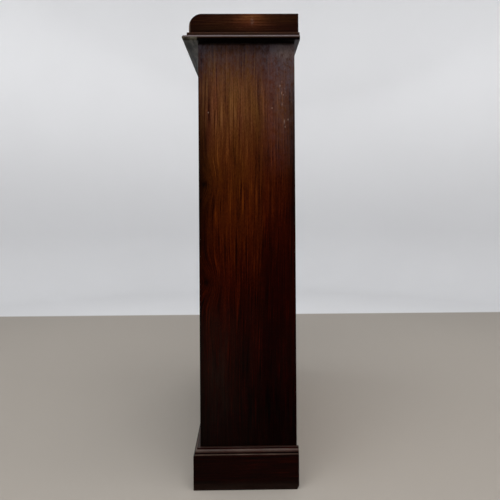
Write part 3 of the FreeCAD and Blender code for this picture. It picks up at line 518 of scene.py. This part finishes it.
def top_wear(sh):
    """The top board: polished above, painted highlight on the crown of its nose, painted shade on its sides
    and underneath, raw and dusty underneath, and painted reflection under its overhangs.
    """
    x, y, z = sh.split(sh.place())
    up = sh.normal()[2]
    underside = sh.remap(up, *UNDERSIDE_UP)
    # Painted shade: lighter where the board faces up.
    side = sh.remap(up, 0.25, 0.75, 0.32, 0.85, smooth=True)
    mottle = sh.noise(sh.place(), 60.0, 3.0, 0.65)
    stains = sh.noise(sh.place(), (10.0, 80.0, 80.0), 3.0, 0.65)

    polished = sh.remap(up, 0.05, 0.55, 0.02, 0.68, smooth=True)
    fillet_arris = sh.product(sh.remap(z, *FILLET_ARRIS_Z), sh.remap(up, 0.98, 0.92))
    polished = sh.product(polished, sh.changed(fillet_arris, -0.85))
    raw = sh.product(underside, sh.remap(stains, 0.36, 0.64, 0.07, 0.20))

    # Dust on the nose's corners and under the front overhang; under the overhang it is also a painted
    # reflection.
    corner = sh.product(
        sh.remap(sh.maths("ABSOLUTE", x), *TOP_END_X), sh.remap(z, *NOSE_SIDE_Z),
        sh.remap(up, 0.30, 0.0))
    front = sh.product(
        sh.remap(y, *FRONT_OVERHANG_Y), sh.remap(y, *NOSE_Y, 1.0, 0.55), sh.largest(corner, underside))

    # Painted highlight on the crown of the nose, in the sheen colour.
    crown = sh.product(
        sh.remap(up, 0.24, 0.50, smooth=True), sh.remap(up, 0.995, 0.94, smooth=True),
        sh.remap(z, *NOSE_CROWN_Z), sh.remap(up, 0.60, 0.80, 1.0, 2.2))
    painted_highlight = sh.product(crown, sh.remap(mottle, 0.30, 0.70, 0.26, 0.46))
    # Painted reflection under the back overhang.
    rear = sh.product(sh.remap(y, *REAR_OVERHANG_Y, 0.0, 0.70), underside)
    return Wear(
        gloss=sh.largest(polished, raw),
        # Painted shade, near black, where the board faces down.
        shade=sh.product(side, sh.remap(up, -0.45, 0.10, 0.03, 1.0, smooth=True)),
        painted_sheen=sh.largest(painted_highlight, rear),
        dust=sh.product(front, sh.remap(stains, 0.38, 0.62, 0.30, 1.0)),
        mark=sh.product(sh.remap(z, *FILLET_Z), sh.remap(up, 0.5, 0.2, 0.0, 0.042)),
        rubbing=sh.changed(fillet_arris, -0.70))


# The gallery's sides, in metres: a paler patch, a chip, the two ends, the foot and the tip of the sweep.
GALLERY_PATCH, GALLERY_CHIP = ((0.022, 1.150), (0.034, 0.022)), ((0.0275, 1.1430), (0.0036, 0.0075))
GALLERY_FRONT_Y, GALLERY_REAR_Y, GALLERY_FOOT_Z = (-0.02, -0.11), (0.07, 0.13), (1.117, 1.142)
GALLERY_TIP_Y, GALLERY_TIP_Z = (-0.1225, -0.1258), (1.157, 1.148)


def gallery_wear(sh):
    """The gallery's sides: dull, with a warm patch where the wood is paler, painted shade towards the foot
    and a painted highlight on the tip of the sweep.
    """
    _, y, z = sh.split(sh.place())
    ends = sh.total(sh.remap(y, *GALLERY_FRONT_Y), sh.remap(y, *GALLERY_REAR_Y, 0.0, 0.55))
    dull = sh.maths("MULTIPLY_ADD", ends, -0.09, 0.22)
    shade = sh.maths("MULTIPLY_ADD", spot(sh, y, z, *GALLERY_PATCH), 0.55, dull)
    crackle = sh.noise(sh.place(), (160.0, 420.0, 220.0), 2.0, 0.6)
    chip = sh.product(spot(sh, y, z, *GALLERY_CHIP), sh.remap(crackle, 0.40, 0.62, 0.04, 0.36))
    # Painted highlight on the tip of the sweep, in bare-wood colour.
    tip = sh.product(sh.remap(y, *GALLERY_TIP_Y), sh.remap(z, *GALLERY_TIP_Z, 0.0, 0.62))
    return Wear(
        gloss=sh.remap(sh.normal()[2], 0.3, 0.8, 0.0, 0.5),
        # Painted shade, darker towards the foot where the gallery stands on the top.
        shade=sh.product(shade, sh.remap(z, *GALLERY_FOOT_Z, 0.55, 1.0)),
        redden=0.12,
        mark=sh.largest(chip, tip))


# The base moulding and the plinth, in metres up. The foot and the gap are each a middle and a reach.
MOULDING_FOOT, MOULDING_GAP, MOULDING_TOP_Z = (0.0852, 0.0015), (0.0885, 0.0022), (0.0985, 0.1005)
SCUFF_Z = (0.026, 0.002)


def moulding_wear(sh):
    """The base moulding: painted highlight in bare-wood colour where it faces up and along its foot, partly
    rubbed wood, and painted shade in the gap between.
    """
    up = sh.normal()[2]
    z = sh.split(sh.place())[2]
    # Painted highlight in bare-wood colour where it faces up and along the foot, partly rubbed wood.
    ovolo_highlight = sh.product(
        sh.remap(up, 0.05, 0.60, smooth=True), sh.remap(z, *MOULDING_TOP_Z, 1.0, 0.3))
    rubbed = sh.largest(ovolo_highlight, sh.product(band(sh, z, *MOULDING_FOOT), 2.8))
    patches = sh.noise(sh.place(), 14.0, 3.0, 0.6)
    return Wear(
        gloss=sh.remap(up, 0.10, 0.70, 0.02, 0.18, smooth=True),
        # Painted shade in the gap.
        shade=sh.changed(band(sh, z, *MOULDING_GAP), -0.75),
        mark=sh.product(rubbed, sh.remap(patches, 0.3, 0.7, 0.11, 0.28)))


def plinth_wear(sh):
    """The plinth: dull and dusty, scuffed along the floor."""
    z = sh.split(sh.place())[2]
    scuffs = sh.noise(sh.place(), (12.0, 12.0, 60.0), 3.0, 0.65)
    return Wear(
        gloss=slanting_gloss(sh, 0.30), shade=0.63, redden=-0.15, dust=0.017,
        mark=sh.product(
            sh.remap(z, *SCUFF_Z, 0.0, 0.045, smooth=True), sh.remap(scuffs, 0.3, 0.7, 0.5, 1.5)))


def mahogany_figure(sh, here, line, along, cloud, veins):
    """How light the figure is from place to place: ribbons, veins, broken hairs, flecks and clouds."""
    ribbon = sh.streaks(line, along, RIBBONS)
    hairs = sh.streaks(line, along, HAIRS)
    breaks = sh.noise(here, (110.0, 110.0, 16.0), 2.0, 0.6)
    dashes = sh.product(sh.maths("SUBTRACT", hairs, MIDDLE_TONE), sh.remap(breaks, 0.38, 0.62, 0.15, 1.6))
    flecks = sh.noise(here, (460.0, 460.0, 160.0), 2.0, 0.6)
    tone = -TONE_LOSS
    for part, share in (
        (ribbon, RIBBON_SHARE), (veins, VEIN_SHARE), (dashes, DASH_SHARE),
        (flecks, FLECK_SHARE), (cloud, CLOUD_SHARE),
    ):
        tone = sh.maths("MULTIPLY_ADD", part, share, tone)
    return tone


def polish_and_shade_darkening(sh, wood, tone, cloud, darkening):
    """What old polish and painted shade leave of each colour: ever less downwards, with the figure ever
    stronger.
    """
    height = sh.maths("MULTIPLY_ADD", cloud, 0.10, sh.split(sh.place())[2])
    darkest_height = wood.undarkened_height - wood.darkening_layer_height * wood.most_darkening_layers
    layers = sh.remap(height, wood.undarkened_height, darkest_height, 0.0, wood.most_darkening_layers * darkening)
    in_grain = sh.product(sh.maths("SUBTRACT", tone, MIDDLE_TONE), layers)
    in_grain = sh.largest(sh.changed(in_grain, LAYER_CONTRAST), LEAST_CONTRAST)
    return sh.join(*(
        sh.product(sh.maths("POWER", channel, layers), in_grain) for channel in wood.polish_and_shade_layer))


def mahogany(name, grain, wear, darkening):
    """Old polished mahogany: ribbons, fine veins and pores, darker downwards with old polish and painted
    shade, rubbed at the arrises.
    """
    wood = bpy.context.scene.cabinet_mahogany
    material, sh = new_material(name)
    board = wear(sh) if callable(wear) else Wear(gloss=wear)
    across, depth, along = board_space(sh, grain)
    here = sh.join(across, depth, along)

    line = sh.maths("ADD", across, sh.product(depth, 0.6))
    line = sh.maths("MULTIPLY_ADD", sh.noise(here, (4.0, 4.0, 0.9)), WANDER, line)
    line = sh.maths("MULTIPLY_ADD", sh.noise(here, (22.0, 22.0, 4.0)), RIPPLE, line)
    line = sh.maths("SUBTRACT", line, board.bend)
    veins = sh.streaks(line, along, VEINS, 2.0, 0.60)
    cloud = sh.noise(here, (5.0, 5.0, 2.2), 2.0, 0.55)
    tone = mahogany_figure(sh, here, line, along, cloud, veins)
    figure = sh.ramp(tone, ((0.15, wood.dark_vein), (MIDDLE_TONE, wood.heartwood), (0.85, wood.light_vein)))

    pores = sh.remap(sh.noise(here, (1500.0, 1500.0, 45.0), 1.0), 0.60, 0.72)
    figure = sh.mix(sh.product(pores, 0.35), figure, wood.dark_vein)
    end_grain = sh.mix(pores, sh.mix(0.5, wood.heartwood, wood.dark_vein), wood.dark_vein)
    facing_along = sh.maths("ABSOLUTE", sh.normal()["XYZ".index(grain)])
    figure = sh.mix(sh.remap(facing_along, 0.55, 0.90), figure, end_grain)

    polish_and_shade = polish_and_shade_darkening(sh, wood, tone, cloud, darkening)
    # Darker downwards: old polish and painted shade.
    figure = sh.mix(1.0, figure, polish_and_shade, "MULTIPLY")
    hue = sh.streaks(line, along, HUES, 3.0, 0.65)
    less_green = sh.product(board.shade, sh.rest(board.redden))
    green = sh.product(less_green, sh.remap(hue, 0.30, 0.70, 0.88, 1.14))
    blue = sh.product(less_green, sh.remap(hue, 0.30, 0.70, 1.12, 0.88))
    figure = sh.mix(1.0, figure, sh.join(board.shade, green, blue), "MULTIPLY")

    for amount, film in (
        # Dirt and painted shade in the corners, from how open the surface is.
        (sh.product(sh.crevice(0.035), board.dirt_and_shade), wood.dirt_and_shade),
        (board.painted_sheen, wood.painted_sheen), (board.dust, wood.dust), (board.mark, wood.bare_wood_and_highlight),
    ):
        figure = sh.mix(amount, figure, film)

    patches = sh.noise(sh.place(), 60.0, 3.0, 0.65)
    rubbed = sh.product(
        sh.product(sh.arris(0.0016), sh.remap(patches, 0.38, 0.68)), sh.product(board.rubbing, wood.wear))
    figure = sh.mix(rubbed, figure, sh.mix(1.0, wood.bare_wood_and_highlight, polish_and_shade, "MULTIPLY"))

    smear = sh.noise(sh.place(), (7.0, 7.0, 3.0), 3.0, 0.6)
    roughness = sh.maths("MULTIPLY_ADD", rubbed, 0.25, sh.remap(smear, 0.30, 0.70, 0.38, 0.52))
    planing = sh.bump(sh.noise(here, (26.0, 26.0, 3.0), 1.0), 0.10, 0.004)
    sh.finish({
        "Base Color": figure, "Roughness": roughness, "IOR": WOOD_IOR, "Specular IOR Level": 0.01,
        "Normal": sh.bump(sh.maths("SUBTRACT", veins, pores), 0.06, 0.0006, planing),
        "Coat Weight": sh.product(board.gloss, sh.changed(rubbed, -0.6)),
        "Coat Roughness": wood.gloss_roughness, "Coat IOR": WOOD_IOR, "Coat Normal": planing,
    })
    return material


def finish_boards(names, label, grain, wear, darkening=1.0):
    """Polishes boards whose grain runs the same way. The wear is a function, or a number for the gloss."""
    coat_nodes(names, mahogany("mahogany_" + label, grain, wear, darkening))


def back_joints(sh):
    """1 along the joints between the back boards, 0 on the boards."""
    first, second = (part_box(name)[0][0] for name in BACK_BOARDS[:2])
    x = sh.split(sh.place())[0]
    boards = sh.maths("DIVIDE", sh.maths("SUBTRACT", x, first), second - first)
    off = sh.maths("ABSOLUTE", sh.maths("SUBTRACT", boards, sh.maths("ROUND", boards)))
    return sh.remap(sh.product(off, second - first), 0.0026, 0.0008)


def softwood(name, grain, joints=None):
    """Aged, stained softwood, each board a little lighter or darker, with dirt and painted shade in the
    corners and dirt in the joints.
    """
    wood = bpy.context.scene.cabinet_softwood
    material, sh = new_material(name)
    across, depth, along = board_space(sh, grain)
    here = sh.join(across, depth, along)
    line = sh.maths("MULTIPLY_ADD", sh.noise(here, (3.0, 3.0, 0.7)), 0.12, across)
    rings = sh.line_noise(line, 130.0, 2.0, 0.55)
    cloud = sh.noise(here, (8.0, 8.0, 1.6), 3.0, 0.6)
    tone = sh.maths("MULTIPLY_ADD", cloud, 0.5, sh.maths("MULTIPLY_ADD", rings, 0.9, -0.2))
    figure = sh.ramp(tone, ((0.25, wood.winter), (0.75, wood.summer)))
    lighter = sh.remap(sh.node("ShaderNodeObjectInfo").outputs["Random"], 0.0, 1.0, 0.78, 1.16)
    figure = sh.mix(1.0, figure, sh.join(lighter, lighter, lighter), "MULTIPLY")
    # Dirt and painted shade in the corners.
    dirt_and_shade = sh.product(sh.crevice(0.03), 0.8)
    if joints is not None:
        dirt_and_shade = sh.largest(dirt_and_shade, sh.product(joints(sh), 0.85))
    sh.finish({
        "Base Color": sh.mix(dirt_and_shade, figure, wood.dirt_and_shade),
        "Roughness": sh.remap(cloud, 0.3, 0.7, 0.62, 0.80),
        "Normal": sh.bump(rings, 0.15, 0.0008), "IOR": WOOD_IOR, "Specular IOR Level": 0.3,
    })
    return material


def old_metal(name, clean, dirty, roughness_clean, roughness_dirty):
    """Metal that is bright where it is rubbed and dull in the hollows."""
    material, sh = new_material(name)
    spots = sh.noise(sh.place(), 90.0, 4.0, 0.65)
    dull = sh.largest(sh.product(sh.remap(spots, 0.42, 0.62), 0.75), sh.crevice(0.006))
    dull = sh.maths("SUBTRACT", dull, sh.arris(0.0008), clamp=True)
    sh.finish({
        "Base Color": sh.mix(dull, clean, dirty), "Metallic": 1.0,
        "Roughness": sh.remap(dull, 0.0, 1.0, roughness_clean, roughness_dirty),
        "Normal": sh.bump(spots, 0.12, 0.0004),
    })
    return material


def pane_glass(name):
    """Old clear glass with a slight wave and dust along its edges, which lets lamp light through."""
    material, sh = new_material(name)
    wave = sh.noise(sh.place(), (6.0, 6.0, 3.5), 1.0)
    across, _, up = sh.split(sh.node("ShaderNodeTexCoord").outputs["Generated"])
    inside = sh.maths("MINIMUM", sh.maths("PINGPONG", across, 0.5), sh.maths("PINGPONG", up, 0.5))
    patches = sh.noise(sh.place(), 24.0, 3.0, 0.65)
    dust = sh.product(
        sh.remap(inside, 0.050, 0.010, smooth=True), sh.remap(patches, 0.35, 0.75, 0.0, 0.05))
    shader = sh.node("ShaderNodeBsdfPrincipled", {
        "Base Color": (*PANE_TINT, 1.0), "Roughness": 0.0, "IOR": PANE_IOR,
        "Normal": sh.bump(wave, 0.012, 0.01), "Transmission Weight": sh.rest(dust),
    })
    clear = sh.node("ShaderNodeBsdfTransparent", {"Color": (*PANE_SHADOW_TINT, 1.0)})
    shadow_ray = sh.node("ShaderNodeLightPath").outputs["Is Shadow Ray"]
    both = sh.node("ShaderNodeMixShader", {0: shadow_ray, 1: shader.outputs[0], 2: clear.outputs[0]})
    sh.node("ShaderNodeOutputMaterial", {"Surface": both.outputs[0]})
    return material


def lamp(name, power, size, place, towards):
    data = bpy.data.lights.new(name, "AREA")
    data.shape = "RECTANGLE"
    data.size, data.size_y = size
    data.energy = power
    made = bpy.data.objects.new(name, data)
    made.location = place
    made.rotation_euler = (Vector(towards) - Vector(place)).to_track_quat("-Z", "Y").to_euler()
    made.visible_camera = False
    bpy.context.scene.collection.objects.link(made)


# The room, in metres: the sweep from floor to wall, and from the middle outwards where the wall's
# colour and its glow start and are full.
COVE_RADIUS, COVE_STEP_DEGREES, WALL_HEIGHT, ROOM_STEPS = 0.45, 6, 4.2, 128
WALL_COLOUR_OUT, GLOW_OUT, GLOW_Z = (1.63, 1.66), (1.64, 1.80), (0.35, 1.90)


def studio_room(radius):
    """A round floor that sweeps up into the wall."""
    flat = radius - COVE_RADIUS
    profile = [(0.0, 0.0), (flat, 0.0)]
    for degrees in range(COVE_STEP_DEGREES, 90 + COVE_STEP_DEGREES, COVE_STEP_DEGREES):
        turn = math.radians(degrees)
        profile.append((flat + COVE_RADIUS * math.sin(turn), COVE_RADIUS - COVE_RADIUS * math.cos(turn)))
    profile.append((radius, WALL_HEIGHT))

    shape = bmesh.new()
    chain = [shape.verts.new((out, 0.0, up)) for out, up in profile]
    edges = [shape.edges.new(pair) for pair in zip(chain, chain[1:])]
    bmesh.ops.spin(
        shape, geom=chain + edges, axis=(0, 0, 1), cent=(0, 0, 0),
        angle=2 * math.pi, steps=ROOM_STEPS, use_duplicate=False)
    bmesh.ops.remove_doubles(shape, verts=shape.verts, dist=1e-5)
    bmesh.ops.recalc_face_normals(shape, faces=shape.faces)
    for face in shape.faces:
        face.smooth = True
    mesh = bpy.data.meshes.new("studio_room")
    shape.to_mesh(mesh)
    shape.free()
    room = bpy.data.objects.new("studio_room", mesh)
    bpy.context.scene.collection.objects.link(room)
    return room


def seen_glow(sh, strength):
    """The strength for what is seen straight, mirrored or through glass, and no light on the cabinet."""
    path = sh.node("ShaderNodeLightPath").outputs
    seen = sh.largest(path["Is Camera Ray"], path["Is Glossy Ray"], path["Is Transmission Ray"])
    return sh.product(seen, strength)


def room_paint(stage):
    """Floor and wall in faintly patchy matt paint, the wall a little paler to the eye than its light."""
    material, sh = new_material("studio_paint")
    x, y, z = sh.split(sh.place())
    out = sh.largest(sh.maths("ABSOLUTE", x), sh.maths("ABSOLUTE", y))
    patches = sh.remap(sh.noise(sh.place(), 1.5), 0.2, 0.8, 0.0, 0.06)
    paint = sh.mix(sh.remap(out, *WALL_COLOUR_OUT, smooth=True), stage.floor, stage.wall)
    paint = sh.mix(patches, paint, stage.smudge)
    glow = sh.product(sh.remap(out, *GLOW_OUT), sh.remap(z, *GLOW_Z, 0.0, stage.glow, smooth=True))
    sh.finish({
        "Base Color": paint, "Roughness": 0.85, "Specular IOR Level": 0.2,
        "Emission Color": paint, "Emission Strength": seen_glow(sh, glow),
    })
    return material


class CABINET_OT_carcase(bpy.types.Operator):
    """Polish the sides, the doors, the inside and the shelves"""
    bl_idname = "cabinet.finish_carcase"
    bl_label = "Carcase"

    def execute(self, context):
        finish_boards(SIDE_PANELS, "side", GRAIN_UP, side_wear)
        finish_boards(DOOR_STILES, "stile", GRAIN_UP, DOOR_GLOSS, FRONT_DARKENING)
        finish_boards(DOOR_RAILS, "rail", GRAIN_ACROSS, DOOR_GLOSS, FRONT_DARKENING)
        finish_boards(SHELF_STRIPS, "strip", GRAIN_UP, INNER_GLOSS, INNER_DARKENING)
        finish_boards(INNER_BOARDS, "inner", GRAIN_ACROSS, INNER_GLOSS, INNER_DARKENING)
        finish_boards(SHELF_BEARERS, "bearer", GRAIN_DEEP, INNER_GLOSS, INNER_DARKENING)
        return {"FINISHED"}


class CABINET_OT_top(bpy.types.Operator):
    """Polish the top board and the gallery"""
    bl_idname = "cabinet.finish_top"
    bl_label = "Top and gallery"

    def execute(self, context):
        finish_boards(("top_board",), "top", GRAIN_ACROSS, top_wear)
        finish_boards(("gallery_back",), "gallery_back", GRAIN_ACROSS, GALLERY_BACK_GLOSS)
        finish_boards(GALLERY_SIDES, "gallery_side", GRAIN_DEEP, gallery_wear)
        return {"FINISHED"}


class CABINET_OT_plinth(bpy.types.Operator):
    """Polish the plinth and the base moulding"""
    bl_idname = "cabinet.finish_plinth"
    bl_label = "Plinth"

    def execute(self, context):
        finish_boards(("plinth_front",), "plinth_long", GRAIN_ACROSS, plinth_wear, FRONT_DARKENING)
        finish_boards(PLINTH_SIDES, "plinth_side", GRAIN_DEEP, plinth_wear, FRONT_DARKENING)
        finish_boards(("base_moulding_front",), "moulding_long", GRAIN_ACROSS, moulding_wear, FRONT_DARKENING)
        finish_boards(MOULDING_SIDES, "moulding_side", GRAIN_DEEP, moulding_wear, FRONT_DARKENING)
        return {"FINISHED"}


class CABINET_OT_back(bpy.types.Operator):
    """Stain the back boards and the hidden softwood"""
    bl_idname = "cabinet.finish_back"
    bl_label = "Back"

    def execute(self, context):
        coat_nodes(BACK_BOARDS, softwood("softwood_back", GRAIN_UP, back_joints))
        coat_nodes(HIDDEN_SOFTWOOD, softwood("softwood_blocks", GRAIN_ACROSS))
        return {"FINISHED"}


class CABINET_OT_glass(bpy.types.Operator):
    """Glaze the doors"""
    bl_idname = "cabinet.glaze"
    bl_label = "Glass"

    def execute(self, context):
        coat_nodes(PANES, pane_glass("old_glass"))
        return {"FINISHED"}


class CABINET_OT_metal(bpy.types.Operator):
    """Age the brass and the steel"""
    bl_idname = "cabinet.finish_metal"
    bl_label = "Brass and steel"

    def execute(self, context):
        metal = context.scene.cabinet_metal
        coat_nodes(BRASSWORK, old_metal("aged_brass", metal.brass, metal.tarnish, 0.24, 0.55))
        coat_nodes(STEELWORK, old_metal("aged_steel", metal.steel, metal.rust, 0.30, 0.65))
        return {"FINISHED"}


class CABINET_OT_stage(bpy.types.Operator):
    """Set the room, the lamps and the camera"""
    bl_idname = "cabinet.set_stage"
    bl_label = "Stage"

    def execute(self, context):
        stage = context.scene.cabinet_stage
        room = studio_room(stage.room)
        room.data.materials.append(room_paint(stage))

        world = bpy.data.worlds.new("studio_air")
        context.scene.world = world
        world.use_nodes = True
        air = world.node_tree.nodes["Background"]
        air.inputs["Color"].default_value = (*stage.sky_colour, 1.0)
        air.inputs["Strength"].default_value = stage.sky

        for name, (power, size, place, towards) in LAMPS.items():
            lamp(name, getattr(stage, power), size, place, towards)

        context.scene.view_settings.view_transform = "Standard"
        self.add_camera(context)
        return {"FINISHED"}

    def add_camera(self, context):
        view = context.scene.cabinet_camera
        data = bpy.data.cameras.new("side_view")
        data.sensor_width = SENSOR_WIDTH
        data.lens = view.focal_length
        data.shift_x, data.shift_y = view.shift_x, view.shift_y
        camera = bpy.data.objects.new("side_view", data)
        camera.location = (view.distance_out, view.sideways, view.height)
        camera.rotation_euler = (math.pi / 2, view.roll, math.pi / 2 - view.turn)
        context.scene.collection.objects.link(camera)
        context.scene.camera = camera


class CABINET_PT_panel(bpy.types.Panel):
    """Lists the finishes and their settings"""
    bl_idname = "CABINET_PT_panel"
    bl_label = "Display cabinet"
    bl_space_type = "VIEW_3D"
    bl_region_type = "UI"
    bl_category = "Cabinet"

    def draw(self, context):
        for operator in OPERATORS:
            self.layout.operator(operator.bl_idname)
        for settings in (getattr(context.scene, name) for name in SETTINGS):
            box = self.layout.box()
            for name in settings.__annotations__:
                box.prop(settings, name)


SETTINGS = {
    "cabinet_mahogany": MahoganySettings,
    "cabinet_softwood": SoftwoodSettings,
    "cabinet_metal": MetalSettings,
    "cabinet_stage": StageSettings,
    "cabinet_camera": CameraSettings,
}
OPERATORS = (
    CABINET_OT_carcase,
    CABINET_OT_top,
    CABINET_OT_plinth,
    CABINET_OT_back,
    CABINET_OT_glass,
    CABINET_OT_metal,
    CABINET_OT_stage,
)


def register():
    for settings in SETTINGS.values():
        bpy.utils.register_class(settings)
    for name, settings in SETTINGS.items():
        setattr(bpy.types.Scene, name, PointerProperty(type=settings))
    for operator in OPERATORS:
        bpy.utils.register_class(operator)
    bpy.utils.register_class(CABINET_PT_panel)


def unregister():
    bpy.utils.unregister_class(CABINET_PT_panel)
    for operator in reversed(OPERATORS):
        bpy.utils.unregister_class(operator)
    for name in SETTINGS:
        delattr(bpy.types.Scene, name)
    for settings in reversed(list(SETTINGS.values())):
        bpy.utils.unregister_class(settings)


def main():
    register()
    bpy.ops.cabinet.finish_carcase()
    bpy.ops.cabinet.finish_top()
    bpy.ops.cabinet.finish_plinth()
    bpy.ops.cabinet.finish_back()
    bpy.ops.cabinet.glaze()
    bpy.ops.cabinet.finish_metal()
    bpy.ops.cabinet.set_stage()


if __name__ == "__main__":
    main()
